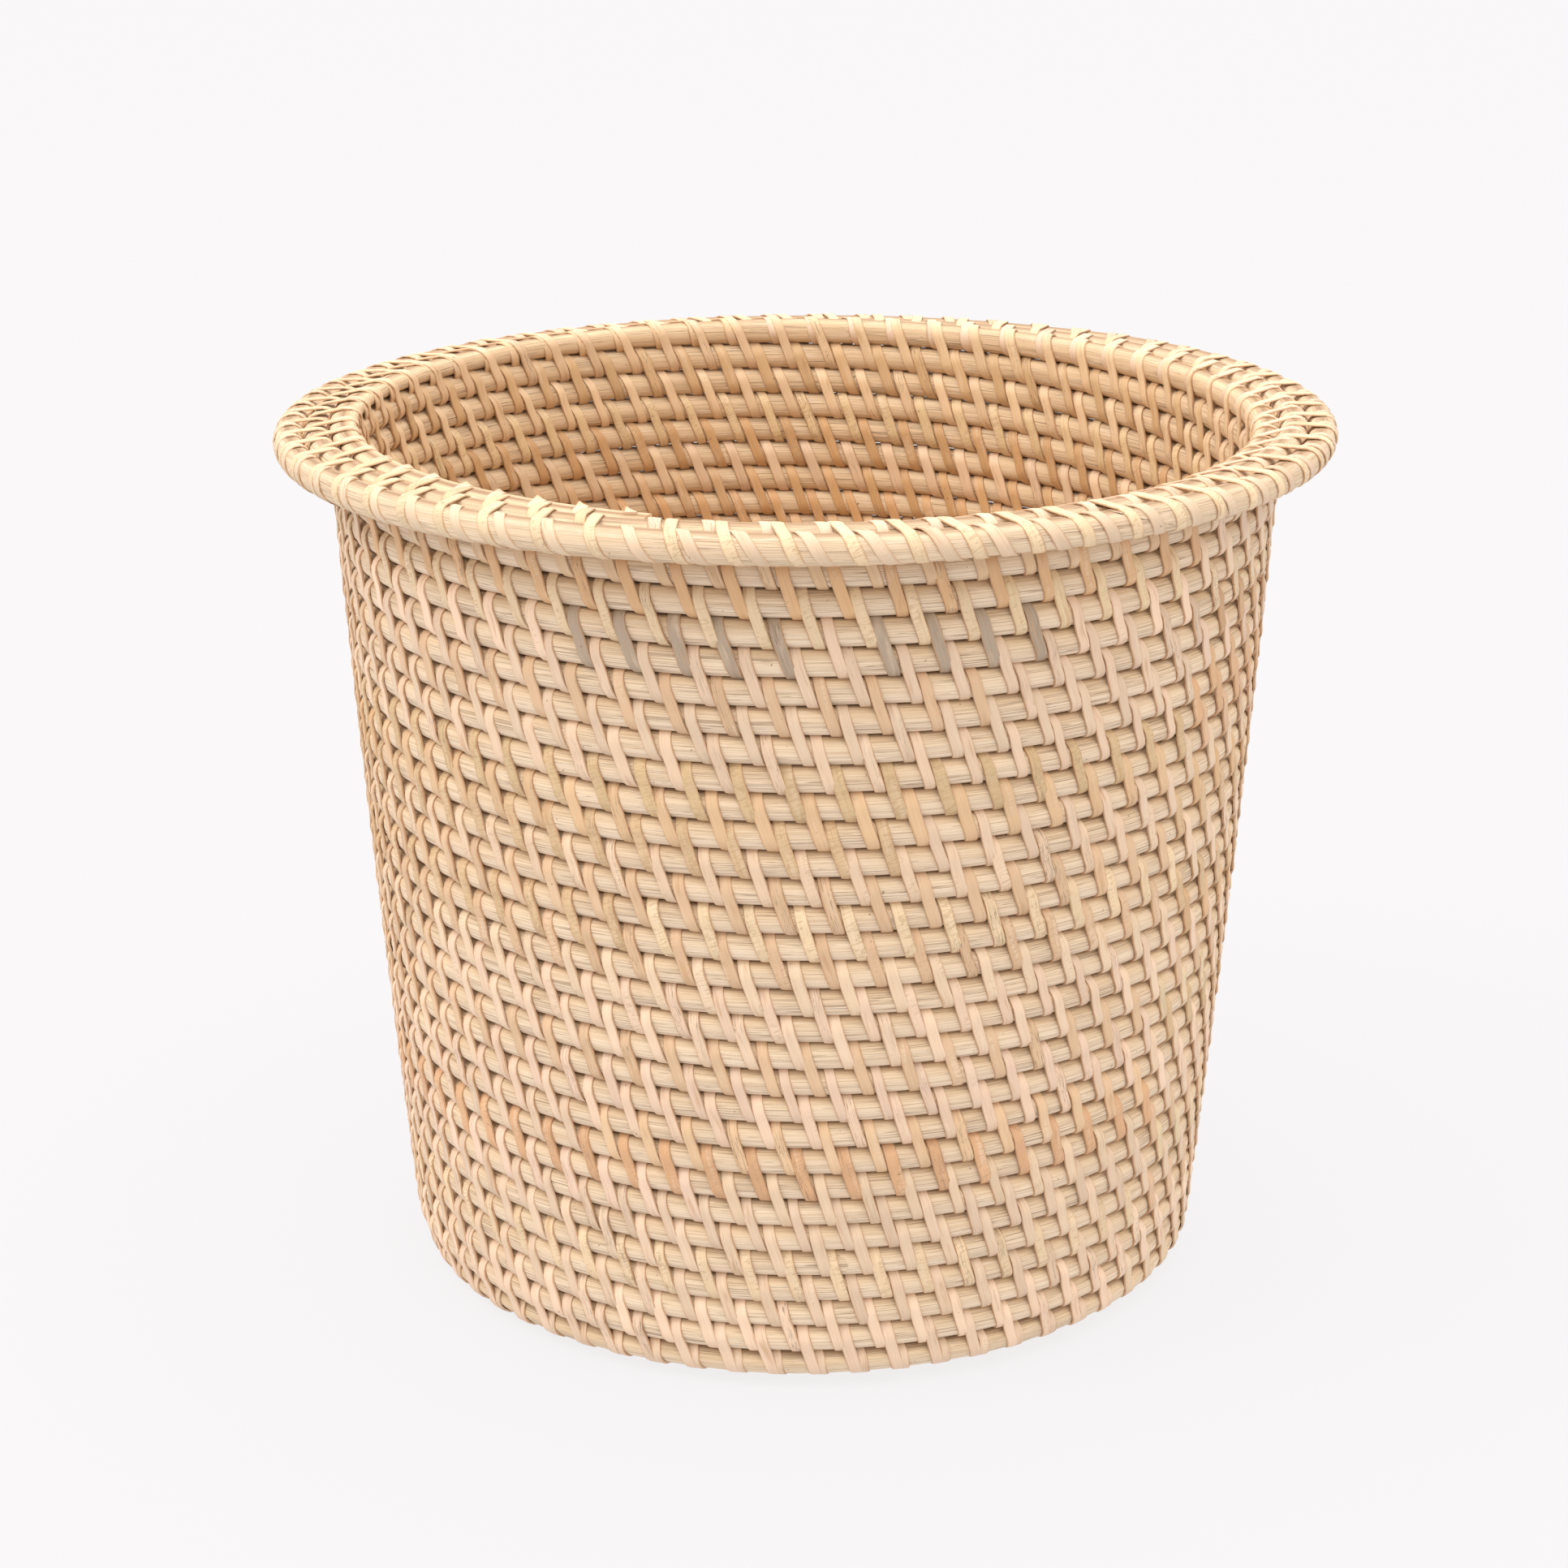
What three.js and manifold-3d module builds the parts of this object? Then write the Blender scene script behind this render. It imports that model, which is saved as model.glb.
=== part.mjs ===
// A wastebasket of coiled rattan, in millimetres, +Z up, standing on z = 0 with its axis on Z and its
// front at -Y. One coil of round cane spirals out from the middle of the base, turns the corner and climbs
// the wall. Its canes are joined end to end with scarf joints, and the last half turn is shaved to a
// wedge, so that the wall ends without a step. Two rings of the same cane lie outside the last turn and
// make the flat rim. Flat binding strips lash each turn to the one before it. Each strip is drawn here as
// one zigzag run over the groove that it closes, on the outside of the basket, and on the top of the rim.
import * as THREE from "three";
import { mergeVertices } from "three/addons/utils/BufferGeometryUtils.js";
import Module from "manifold-3d";

// Driving dimensions.
const COIL_PITCH = 8; // from one turn to the next
const CANE_RADIUS = 3.5; // of the round cane
const STRIP_WIDTH = 3.4;
const STRIP_THICKNESS = 0.9;
const STRIP_GAP = 0.7; // between the flat of a faceted cane and the strip that crosses it
const STRIP_END_SHARE = 0.005; // of a turn, that a strip stops short of the next one's start
const BASE_TURNS = 13.1; // turns of the coil that lie flat
const BASE_OFFSET = 3.1; // radius the spiral would have at turn 0
const CORNER_RADIUS = 6; // of the coil's axis, where it turns up into the wall
const COIL_START = 0.2; // turns, where the cane can't be bent tighter
const FIRST_STRIP_TURN = 1.35; // where there is first a turn inside to bind to
const COIL_END = 44.8; // turns
const FRONT_TURN = 0.85; // share of a turn at which the coil passes the front
const WALL_LEAN_LOW = THREE.MathUtils.degToRad(84.6); // from level, bottom of the wall
const WALL_LEAN_HIGH = THREE.MathUtils.degToRad(86.7); // from level, top of the wall
const WEDGE_START = 44.35; // turns, where the last cane begins to thin
const WEDGE_END_SHARE = 0.2; // of its full height, at its tip
const WALL_CANES = 8;
const BASE_CANE_JOINT = 9.5; // turns, where the base's two canes meet
const RIM_MIDDLE_RADIUS = 139.7;
const RIM_OUTER_RADIUS = 147.7;
const RIM_OUTER_HEIGHT = 248.9;
const RIM_MIDDLE_RISE = 0.4; // of the middle ring above the outer one
const RIM_COVERS = 43.8; // turns, above which the rim covers the outside of the wall
const RIM_TILT = 1.2; // how much higher the rim is at +X, where the coil under it has climbed further
const RIM_START = 0.15; // share of a turn: where the rings' own scarf joints lie
const SCARF_LENGTH = 24;
const SCARF_GAP = 0.3;
const SCARF_OVERLAP = 0.52; // of its length that each cane runs on past the joint's middle

// How finely the faceted model follows the round one.
const STEPS_PER_TURN = 20;
const CORE_SIDES = 6;
const BASE_STRIPS = 6;

// Worked out from the above.
const FACET_HALF_ANGLE = Math.PI / CORE_SIDES;
// A faceted cane has the round cane's area of section.
const CORE_FLAT = CANE_RADIUS * Math.sqrt(FACET_HALF_ANGLE / Math.tan(FACET_HALF_ANGLE));
const CORE_CORNER = CORE_FLAT / Math.cos(FACET_HALF_ANGLE);
const STRIP_INNER = CORE_FLAT + STRIP_GAP; // from a cane's axis to the inner edge of a strip over it
const STRIP_OUTER = STRIP_INNER + STRIP_THICKNESS;
const BASE_HEIGHT = STRIP_OUTER; // of the base coil's axis, so that the strips under it stand on z = 0
const STITCH_REACH = 6; // of a strip's zigzag to each side of its groove
const TIGHT_REACH = 3; // where the rim leaves less room
const CORNER_REACH = (COIL_PITCH - STRIP_WIDTH) / 2; // keeps a strip at the corner off the ground
const CORNER_BEND = 0.01; // radians that the lean changes by in a turn, above which the coil is at the corner
const MIDDLE_REACH_SHARE = 0.25; // of the coil's radius, near the middle of the base
const RIM_REACH = 5;
const TOP_CLEARANCE = 0.4; // of the rim's inner strip, for the slope under it
const EDGE_REACH = 1.5;
const CORNER_LENGTH = CORNER_RADIUS * WALL_LEAN_LOW;
const WALL_LENGTH = COIL_PITCH * (COIL_END - BASE_TURNS) - CORNER_LENGTH;
const WALL_RADIUS = WALL_LENGTH / (WALL_LEAN_HIGH - WALL_LEAN_LOW); // of the wall's slight bulge
const WALL_START = 14; // turns, where the first strip and cane of the wall begin
const WALL_TURNS = COIL_END - WALL_START;

const CORE_MATERIAL = new THREE.MeshStandardMaterial({ color: 0xe6d3a6, roughness: 0.75, metalness: 0 });
const STRIP_MATERIAL = new THREE.MeshStandardMaterial({ color: 0xdcb78c, roughness: 0.5, metalness: 0 });

const wasm = await Module();
wasm.setup();

const basket = new THREE.Group();

// ---------------------------------------------------------------- the coil

const angleOf = (turn) => 2 * Math.PI * (turn - FRONT_TURN - 0.25);

// The share of full height that the cane has at a turn: 1, until the last half turn's wedge.
function heightShare(turn) {
  const along = THREE.MathUtils.clamp((turn - WEDGE_START) / (COIL_END - WEDGE_START), 0, 1);
  return 1 - (1 - WEDGE_END_SHARE) * along;
}

// Where an arc ends that leaves a start with its lean, in the plane of radius and height. A lean is the
// direction that the basket grows in, in radians above level.
function arcEnd(start, radius, length) {
  const lean = start.lean + length / radius;
  return {
    radius: start.radius + radius * (Math.sin(lean) - Math.sin(start.lean)),
    height: start.height - radius * (Math.cos(lean) - Math.cos(start.lean)),
    lean,
  };
}

const CORNER_FOOT = { radius: BASE_OFFSET + COIL_PITCH * BASE_TURNS, height: BASE_HEIGHT, lean: 0 };
const WALL_FOOT = arcEnd(CORNER_FOOT, CORNER_RADIUS, CORNER_LENGTH);

// The coil's axis at a turn: flat, then round the corner, then up the wall.
function coilAt(turn) {
  const sunk = (1 - heightShare(turn)) / 2;
  const beyondBase = COIL_PITCH * (turn - sunk - BASE_TURNS);
  if (beyondBase < 0) return { ...CORNER_FOOT, radius: CORNER_FOOT.radius + beyondBase };
  if (beyondBase < CORNER_LENGTH) return arcEnd(CORNER_FOOT, CORNER_RADIUS, beyondBase);
  return arcEnd(WALL_FOOT, WALL_RADIUS, beyondBase - CORNER_LENGTH);
}

// A rim ring's axis at a turn of the coil.
function ringAt(radius, height) {
  return (turn) => ({ radius, height: height + RIM_TILT * Math.cos(angleOf(turn)), lean: 0 });
}

const middleRingAt = ringAt(RIM_MIDDLE_RADIUS, RIM_OUTER_HEIGHT + RIM_MIDDLE_RISE);
const outerRingAt = ringAt(RIM_OUTER_RADIUS, RIM_OUTER_HEIGHT);

const radialAt = (turn) => new THREE.Vector3(Math.cos(angleOf(turn)), Math.sin(angleOf(turn)), 0);
const alongAt = (turn) => new THREE.Vector3(-Math.sin(angleOf(turn)), Math.cos(angleOf(turn)), 0);

// A point given as radius and height, or a direction in that plane, in the basket's frame.
function inFrame(turn, radius, height) {
  const point = radialAt(turn).multiplyScalar(radius);
  point.z = height;
  return point;
}

// ---------------------------------------------------------------- sweeping a section along the coil

// A run of sections, each with a point and the two directions of the section's x and y. Between two steps
// the section is the straight mix of theirs, so that every run keeps to the same facets.
class Run extends THREE.Curve {
  constructor(sectionAt, start, end) {
    super();
    const first = Math.floor(start * STEPS_PER_TURN + 1e-6) + 1;
    const last = Math.ceil(end * STEPS_PER_TURN - 1e-6) - 1;
    const turns = [start];
    for (let step = first; step <= last; step++) turns.push(step / STEPS_PER_TURN);
    turns.push(end);
    this.sections = turns.map((turn) => Run.mixed(sectionAt, turn));
  }

  static mixed(sectionAt, turn) {
    const step = turn * STEPS_PER_TURN;
    const low = Math.floor(step + 1e-6);
    const share = Math.max(0, step - low);
    const a = sectionAt(low / STEPS_PER_TURN, low);
    if (share < 1e-6) return a;
    const b = sectionAt((low + 1) / STEPS_PER_TURN, low + 1);
    return { point: a.point.lerp(b.point, share), x: a.x.lerp(b.x, share), y: a.y.lerp(b.y, share) };
  }

  getPoint(t) {
    return this.sections[Math.round(t * (this.sections.length - 1))].point;
  }

  getSpacedPoints() {
    return this.sections.map((section) => section.point);
  }

  computeFrenetFrames() {
    return {
      tangents: [],
      normals: this.sections.map((section) => section.x),
      binormals: this.sections.map((section) => section.y),
    };
  }
}

function sweep(shape, run) {
  return new THREE.ExtrudeGeometry(shape, { steps: run.sections.length - 1, extrudePath: run });
}

// ---------------------------------------------------------------- canes

// A cane's section, as large as the round cane's: its corners point at the turns to each side.
function coreShape() {
  const corners = [];
  for (let i = 0; i < CORE_SIDES; i++) {
    const angle = (2 * Math.PI * i) / CORE_SIDES;
    corners.push(new THREE.Vector2(CORE_CORNER * Math.cos(angle), CORE_CORNER * Math.sin(angle)));
  }
  return new THREE.Shape(corners);
}

const coreSection = (axisAt, shareAt) => (turn) => {
  const axis = axisAt(turn);
  const up = new THREE.Vector2(Math.cos(axis.lean), Math.sin(axis.lean));
  return {
    point: inFrame(turn, axis.radius, axis.height),
    x: inFrame(turn, up.x, up.y).multiplyScalar(shareAt(turn)),
    y: inFrame(turn, up.y, -up.x),
  };
};

function toSolid(geometry) {
  const bare = geometry.clone();
  bare.deleteAttribute("normal");
  bare.deleteAttribute("uv");
  const merged = mergeVertices(bare, 1e-4);
  return new wasm.Manifold(
    new wasm.Mesh({
      numProp: 3,
      vertProperties: merged.attributes.position.array,
      triVerts: new Uint32Array(merged.index.array),
    }),
  );
}

function toGeometry(solid) {
  const mesh = solid.getMesh();
  const geometry = new THREE.BufferGeometry();
  geometry.setAttribute("position", new THREE.BufferAttribute(mesh.vertProperties, 3));
  geometry.setIndex(new THREE.BufferAttribute(mesh.triVerts, 1));
  geometry.computeVertexNormals();
  return geometry;
}

// What a scarf joint takes away from the cane that ends at it (side -1) or starts at it (side 1).
function scarfCutter(axisAt, turn, side) {
  const axis = axisAt(turn);
  const across = radialAt(turn).multiplyScalar(SCARF_LENGTH);
  const normal = across.addScaledVector(alongAt(turn), 2 * CANE_RADIUS).normalize();
  const up = new THREE.Vector3(0, 0, 1);
  const depth = 3 * CANE_RADIUS;
  const box = new THREE.BoxGeometry(depth, 2 * SCARF_LENGTH, COIL_PITCH);
  const centre = inFrame(turn, axis.radius, axis.height);
  centre.addScaledVector(normal, -side * (depth / 2 - SCARF_GAP / 2));
  const placed = new THREE.Matrix4().makeBasis(normal, up.clone().cross(normal), up).setPosition(centre);
  return toSolid(box.applyMatrix4(placed));
}

// One cane from start to end, scarfed to its neighbours where it has any. It is made in two halves, because
// a ring's scarf is cut across both of its own ends, each from its own side.
function cane({ axisAt, shareAt = () => 1, start, end, scarfStart = true, scarfEnd = true }) {
  const swept = (from, to) => toSolid(sweep(coreShape(), new Run(coreSection(axisAt, shareAt), from, to)));
  const overlap = (turn) => (SCARF_OVERLAP * SCARF_LENGTH) / (2 * Math.PI * axisAt(turn).radius);
  const middle = Math.round(((start + end) / 2) * STEPS_PER_TURN) / STEPS_PER_TURN;
  let head = swept(scarfStart ? start - overlap(start) : start, middle);
  let tail = swept(middle, scarfEnd ? end + overlap(end) : end);
  if (scarfStart) head = head.subtract(scarfCutter(axisAt, start, 1));
  if (scarfEnd) tail = tail.subtract(scarfCutter(axisAt, end, -1));
  return toGeometry(head.add(tail));
}

// ---------------------------------------------------------------- binding strips

// Flat on its outer face, with its middle reaching in towards the groove.
function stripShape() {
  const half = STRIP_WIDTH / 2;
  return new THREE.Shape([
    new THREE.Vector2(-half, STRIP_OUTER),
    new THREE.Vector2(0, STRIP_INNER),
    new THREE.Vector2(half, STRIP_OUTER),
  ]);
}

// A strip that zigzags over the groove between two axes. side is 1 on the outside of the basket and under
// its base, and -1 on its inside and on the top of the rim.
const stripSection = (olderAt, newerAt, reachAt, side) => (turn, step) => {
  const older = olderAt(turn);
  const newer = newerAt(turn);
  const span = new THREE.Vector2(newer.radius - older.radius, newer.height - older.height);
  const direction = span.clone().normalize();
  const sway = (step % 2 ? -1 : 1) * reachAt(turn);
  const radius = older.radius + span.x / 2 + sway * direction.x;
  const height = older.height + span.y / 2 + sway * direction.y;
  const out = inFrame(turn, side * direction.y, -side * direction.x);
  return { point: inFrame(turn, radius, height), x: out.clone().cross(alongAt(turn)), y: out };
};

function strip({ olderAt, newerAt, reachAt, start, end, side = 1 }) {
  const sectionAt = stripSection(olderAt, newerAt, reachAt, side);
  return sweep(stripShape(), new Run(sectionAt, start + STRIP_END_SHARE, end - STRIP_END_SHARE));
}

const coilBefore = (turn) => coilAt(turn - 1);

// There is less room to sway near the middle of the base, at its corner, and just under the rim.
function coilReach(turn) {
  const bend = coilAt(turn).lean - coilAt(turn - 1).lean;
  if (bend > CORNER_BEND) return CORNER_REACH;
  const belowRim = THREE.MathUtils.clamp(RIM_COVERS - turn, 0, 1);
  const sway = TIGHT_REACH + (STITCH_REACH - TIGHT_REACH) * belowRim;
  return Math.min(sway, MIDDLE_REACH_SHARE * coilAt(turn).radius);
}

// The axis of a full cane that has the top of the wedge for its top.
function topTurnAt(turn) {
  const { radius, height } = coilAt(turn);
  return { radius, height: height - (1 - heightShare(turn)) * CORE_CORNER + TOP_CLEARANCE };
}

// The strip that works the rim's edge goes round the outer ring alone.
const belowOuterRing = ringAt(RIM_OUTER_RADIUS, RIM_OUTER_HEIGHT - COIL_PITCH / 2);
const aboveOuterRing = ringAt(RIM_OUTER_RADIUS, RIM_OUTER_HEIGHT + COIL_PITCH / 2);

// ---------------------------------------------------------------- assembly

function addPiece(name, geometry, material) {
  const mesh = new THREE.Mesh(geometry, material);
  mesh.name = name;
  basket.add(mesh);
}

function addCoilCanes() {
  const coil = { axisAt: coilAt, shareAt: heightShare };
  const inner = { ...coil, start: COIL_START, end: BASE_CANE_JOINT, scarfStart: false };
  addPiece("base_core_inner", cane(inner), CORE_MATERIAL);
  addPiece("base_core_outer", cane({ ...coil, start: BASE_CANE_JOINT, end: WALL_START }), CORE_MATERIAL);
  const turns = WALL_TURNS / WALL_CANES;
  for (let i = 0; i < WALL_CANES; i++) {
    const start = WALL_START + i * turns;
    const piece = { ...coil, start, end: start + turns, scarfEnd: i < WALL_CANES - 1 };
    addPiece(`wall_core_${i + 1}`, cane(piece), CORE_MATERIAL);
  }
}

function addRimRings() {
  const span = { start: COIL_END - 1 + RIM_START, end: COIL_END + RIM_START };
  addPiece("rim_core_middle", cane({ ...span, axisAt: middleRingAt }), CORE_MATERIAL);
  addPiece("rim_core_outer", cane({ ...span, axisAt: outerRingAt }), CORE_MATERIAL);
}

// A strip covers fewer turns of the base as it grows wider, and one turn of the wall.
function addCoilStrips() {
  const groove = { olderAt: coilBefore, newerAt: coilAt, reachAt: coilReach };
  for (let i = 0; i < BASE_STRIPS; i++) {
    const turnAt = (share) => Math.max(FIRST_STRIP_TURN, WALL_START * Math.sqrt(share));
    const piece = { ...groove, start: turnAt(i / BASE_STRIPS), end: turnAt((i + 1) / BASE_STRIPS) };
    addPiece(`base_binder_${i + 1}`, strip(piece), STRIP_MATERIAL);
  }
  for (let i = 0; i < WALL_TURNS; i++) {
    const start = WALL_START + i;
    const end = Math.min(start + 1, COIL_END);
    const side = start < RIM_COVERS ? 1 : -1;
    const name = `wall_binder_${String(i + 1).padStart(2, "0")}`;
    addPiece(name, strip({ ...groove, start, end, side }), STRIP_MATERIAL);
  }
}

function addRimStrips() {
  const span = { start: COIL_END - 1, end: COIL_END };
  const inner = { ...span, olderAt: topTurnAt, newerAt: middleRingAt, reachAt: () => RIM_REACH, side: -1 };
  const outer = { ...span, olderAt: middleRingAt, newerAt: outerRingAt, reachAt: () => RIM_REACH, side: -1 };
  const edge = { ...span, olderAt: belowOuterRing, newerAt: aboveOuterRing, reachAt: () => EDGE_REACH };
  addPiece("rim_binder_inner", strip(inner), STRIP_MATERIAL);
  addPiece("rim_binder_outer", strip(outer), STRIP_MATERIAL);
  addPiece("rim_binder_edge", strip(edge), STRIP_MATERIAL);
}

addCoilCanes();
addRimRings();
addCoilStrips();
addRimStrips();

export default basket;
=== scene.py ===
"""A wastebasket of coiled rattan: round cane bound with flat strips of peel that loop over two turns."""

import math

import bpy
import numpy as np
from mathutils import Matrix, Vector


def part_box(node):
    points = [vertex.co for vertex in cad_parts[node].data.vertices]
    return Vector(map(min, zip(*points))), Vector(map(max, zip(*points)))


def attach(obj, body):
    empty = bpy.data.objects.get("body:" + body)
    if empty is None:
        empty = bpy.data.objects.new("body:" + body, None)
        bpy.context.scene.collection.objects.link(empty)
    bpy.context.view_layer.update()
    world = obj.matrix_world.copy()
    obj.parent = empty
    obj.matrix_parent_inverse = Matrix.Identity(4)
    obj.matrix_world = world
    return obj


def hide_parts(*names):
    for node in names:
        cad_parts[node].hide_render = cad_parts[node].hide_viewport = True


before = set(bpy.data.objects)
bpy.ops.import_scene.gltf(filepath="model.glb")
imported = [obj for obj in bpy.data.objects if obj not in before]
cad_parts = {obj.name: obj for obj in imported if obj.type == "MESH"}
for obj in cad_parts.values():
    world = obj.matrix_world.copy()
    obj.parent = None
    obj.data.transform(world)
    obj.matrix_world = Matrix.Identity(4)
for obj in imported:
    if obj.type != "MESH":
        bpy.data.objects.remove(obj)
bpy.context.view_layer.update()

# ---------------------------------------------------------------- sizes, in metres

PITCH = 0.008  # from one turn of the coil to the next
CANE = 0.00392  # radius of the round cane
OUTER_CANE = 0.0039  # radius of the rim's outer ring
STRIP_WIDTH = 0.0033
STRIP_THICKNESS = 0.0007
STRIP_RISE = 0.00012  # of the end of a stitch over the start of the one beside it
STRIP_LIFT = 0.00002  # of a strip off the cane under it
STITCHES_PER_TURN = 62.445  # of the wall
FRONT_TURN = 0.85  # share of a turn at which the coil passes the front
BASE_TURNS = 13.1  # turns of the coil that lie flat
BASE_OFFSET = 0.0031  # radius the spiral has at turn 0
CORNER_RADIUS = 0.006  # of the coil's axis, where it turns up into the wall
LEAN_LOW = math.radians(84.6)  # of the wall from level, at its bottom
LEAN_HIGH = math.radians(86.7)  # and at its top
CURL_START = -0.8  # turns: where the coil's own first end lies, curled up tight in the middle
NEAREST = 0.0001  # that a cane comes to the basket's axis
COIL_END = 44.8  # turns
WEDGE_START = 44.35  # turns, where the last cane begins to thin
WEDGE_END_SHARE = 0.2  # of its full height, at its tip
WALL_START = 14  # turns, where the first strip and cane of the wall begin
WALL_CANES = 8
WALL_STRIPS = 31
BASE_STRIPS = 6
BASE_CANE_JOINT = 9.5  # turns, where the base's two canes meet
RIM_TILT = 0.0012  # how much higher the rim is at +X
RIM_START = 0.15  # share of a turn: where the rings' own joints lie
SCARF_LENGTH = 0.024


def node_radius(name):
    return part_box(name)[1][0]


def node_mid_height(name):
    low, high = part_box(name)
    return (low[2] + high[2]) / 2


BASE_HEIGHT = node_mid_height("base_core_inner")
MIDDLE_RADIUS = node_radius("rim_core_middle") - CANE
OUTER_RADIUS = node_radius("rim_core_outer") - CANE
MIDDLE_HEIGHT = node_mid_height("rim_core_middle")
OUTER_HEIGHT = node_mid_height("rim_core_outer")
FOOT_RADIUS = BASE_OFFSET + PITCH * BASE_TURNS
CORNER_LENGTH = CORNER_RADIUS * LEAN_LOW
WALL_RADIUS = (PITCH * (COIL_END - BASE_TURNS) - CORNER_LENGTH) / (LEAN_HIGH - LEAN_LOW)

# ---------------------------------------------------------------- the coil's axis


def height_share(turn):
    along = np.clip((turn - WEDGE_START) / (COIL_END - WEDGE_START), 0, 1)
    return 1 - (1 - WEDGE_END_SHARE) * along


def coil_axis(turn):
    """Radius, height and lean of the coil's axis: flat, then round the corner, then up the wall."""
    beyond = PITCH * (turn - (1 - height_share(turn)) / 2 - BASE_TURNS)
    corner = np.clip(beyond, 0, CORNER_LENGTH)
    wall = np.maximum(beyond - CORNER_LENGTH, 0)
    lean = corner / CORNER_RADIUS
    radius = FOOT_RADIUS + np.minimum(beyond, 0) + CORNER_RADIUS * np.sin(lean)
    height = BASE_HEIGHT + CORNER_RADIUS * (1 - np.cos(lean))
    steeper = lean + wall / WALL_RADIUS
    radius = radius + WALL_RADIUS * (np.sin(steeper) - np.sin(lean))
    height = height - WALL_RADIUS * (np.cos(steeper) - np.cos(lean))
    return radius, height, steeper


def angle_of(turn):
    return 2 * math.pi * (turn - FRONT_TURN - 0.25)


def ring_axis(ring_radius, ring_height):
    def axis(turn):
        height = ring_height + RIM_TILT * np.cos(angle_of(turn))
        return np.full_like(turn, ring_radius), height, np.zeros_like(turn)
    return axis


def top_axis(turn):
    """A round cane's axis that would have the top of the wedge for its top."""
    radius, height, _ = coil_axis(turn)
    return radius, height + CANE * height_share(turn) - CANE, np.zeros_like(turn)


middle_axis = ring_axis(MIDDLE_RADIUS, MIDDLE_HEIGHT)
outer_axis = ring_axis(OUTER_RADIUS, OUTER_HEIGHT)


def in_frame(turn, radial, height):
    """Points from their radius and height, or directions from their radial and upward parts."""
    angle = angle_of(turn)
    return np.stack([radial * np.cos(angle), radial * np.sin(angle), height], axis=-1)


def unit(vectors):
    return vectors / np.linalg.norm(vectors, axis=-1, keepdims=True)


# ---------------------------------------------------------------- meshes


def wander(length, spacing, rng):
    """A smooth random curve through about one value each spacing, for places 0 to length."""
    count = int(length / spacing) + 4
    knots = rng.normal(size=count)

    def at(place):
        place = np.asarray(place) / spacing
        low = np.clip(np.floor(place).astype(int), 0, count - 2)
        share = np.clip(place - low, 0, 1)
        share = share * share * (3 - 2 * share)
        return knots[low] * (1 - share) + knots[low + 1] * share
    return at


SHARP_ANGLE = math.radians(38)  # between faces, above which their edge is drawn sharp


def swept_mesh(name, points, along, across, tones):
    """A closed solid from points[row, column]: columns go round it, and its two ends are capped.
    Its texture coordinates are along, one value a row, and across, one value a column and one more.
    Its tones are four numbers a point."""
    rows, columns = points.shape[:2]
    row, column = np.meshgrid(np.arange(rows - 1), np.arange(columns), indexing="ij")
    row, column = row.ravel(), column.ravel()
    following = (column + 1) % columns
    quads = np.stack([row * columns + column, row * columns + following,
                      (row + 1) * columns + following, (row + 1) * columns + column], axis=1)
    quad_uv = np.stack([np.stack([along[row], across[column]], -1),
                        np.stack([along[row], across[column + 1]], -1),
                        np.stack([along[row + 1], across[column + 1]], -1),
                        np.stack([along[row + 1], across[column]], -1)], axis=1)
    first_cap = np.arange(columns)[::-1]
    last_cap = (rows - 1) * columns + np.arange(columns)
    corners = np.concatenate([quads.ravel(), first_cap, last_cap]).astype(np.int32)
    cap_uv = np.stack([np.repeat([along[0], along[-1]], columns), np.full(2 * columns, 0.5)], axis=1)
    uv = np.concatenate([quad_uv.reshape(-1, 2), cap_uv])
    starts = np.concatenate([np.arange(len(quads)) * 4, [len(quads) * 4, len(quads) * 4 + columns]])

    mesh = bpy.data.meshes.new(name)
    mesh.vertices.add(rows * columns)
    mesh.vertices.foreach_set("co", points.reshape(-1).astype(np.float32))
    mesh.loops.add(len(corners))
    mesh.loops.foreach_set("vertex_index", corners)
    mesh.polygons.add(len(starts))
    mesh.polygons.foreach_set("loop_start", starts.astype(np.int32))
    mesh.polygons.foreach_set("use_smooth", np.ones(len(starts), dtype=bool))
    mesh.update(calc_edges=True)
    mesh.uv_layers.new(name="UVMap").data.foreach_set("uv", uv.reshape(-1).astype(np.float32))
    tone = mesh.color_attributes.new("tone", "FLOAT_COLOR", "POINT")
    tone.data.foreach_set("color", tones.reshape(-1))
    mesh.validate()
    mesh.set_sharp_from_angle(angle=SHARP_ANGLE)
    return mesh


def add_piece(name, mesh, material, node):
    piece = bpy.data.objects.new(name, mesh)
    bpy.context.scene.collection.objects.link(piece)
    mesh.materials.append(material)
    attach(piece, "root")
    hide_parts(node)
    return piece


# ---------------------------------------------------------------- canes

CANE_SIDES = 20
CANE_SQUARENESS = 0.65  # 1 for a round cane, less for one pressed flat against its neighbours
CANE_STEP = 0.004  # from one section to the next
LEAST_STEPS_PER_TURN = 40
SCARF_STEPS = 60
SCARF_TIP_PLANE = -0.96  # radii from the axis to the scarf's plane at its tip, which keeps some thickness
THICKNESS_SWAY = 0.012  # of the radius
THICKNESS_SPACING = 0.05
AXIS_SWAY_OUT = 0.00012
AXIS_SWAY_UP = 0.00008
AXIS_SWAY_SPACING = 0.03
CANE_TEXTURE_SHIFT = 0.37  # along the texture, from one cane to the next
# Zones round a cane where light and shade are painted into its colour, in radians: places from the side
# that meets the next turn towards the outside, and reaches to each side of them.
RING_WEAR = 0.35
# Painted light from the floor: each wall cane is made paler on its lower outside.
FLOOR_LIGHT_PLACE, FLOOR_LIGHT_REACH = 0.72 * math.pi, 0.5 * math.pi
# Painted warm interreflection: each wall cane is made warmer on its inside.
INTERREFLECTION_PLACE, INTERREFLECTION_REACH = 1.5 * math.pi, 0.6 * math.pi
# Painted shade: each cane is darkened along the lines where it meets its neighbours.
GROOVE_SHADE_REACH = 0.62
OUTWARD, INWARD = math.pi / 2, 1.5 * math.pi


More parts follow.
